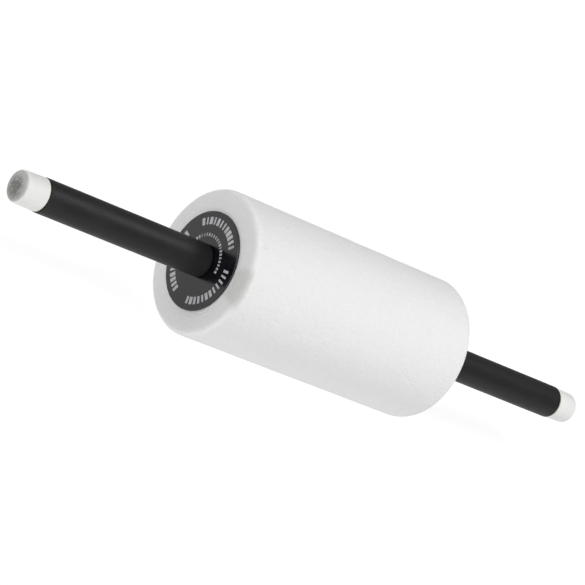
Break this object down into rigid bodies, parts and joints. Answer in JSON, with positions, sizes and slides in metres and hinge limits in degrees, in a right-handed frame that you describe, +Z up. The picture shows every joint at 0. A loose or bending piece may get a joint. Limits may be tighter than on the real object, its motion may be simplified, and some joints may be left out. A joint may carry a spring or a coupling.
{
  "type": "foam roller with handles",
  "caption": "Foam roller: a thick foam drum with rounded edges that turns freely on a through bar, with a soft grip sleeve and a push-on cap at each end.",
  "frame": {"origin": "on the surface the drum rests on, straight below the middle of the bar", "axes": "+X along the bar towards the right-hand end cap, +Z up, and the bar's axis is 75 mm above the origin"},
  "size_m": [0.79, 0.15, 0.15],
  "materials": {
    "foam": "matte",
    "grip": "matte",
    "hub": "gloss",
    "cap": "satin",
    "pipe": "satin",
    "bush": "satin",
    "steel": "satin"
  },
  "bodies": {
    "bar": {"bar_tube": "pipe", "grip_sleeve_left": "grip", "grip_sleeve_right": "grip", "end_cap_left": "cap", "end_cap_right": "cap", "thrust_washer_left": "steel", "thrust_washer_right": "steel", "locating_collar_left": "bush", "locating_collar_right": "bush", "collar_pin_left": "steel", "collar_pin_right": "steel"},
    "drum": {"foam_drum": "foam", "drum_liner": "pipe", "hub_disc_left": "hub", "hub_disc_right": "hub", "bush_left": "bush", "bush_right": "bush"}
  },
  "joints": [
    {"name": "drum_spin", "type": "hinge", "parent": "bar", "child": "drum", "pos_m": [0, 0, 0.075], "axis": [1, 0, 0], "continuous": true}
  ]
}
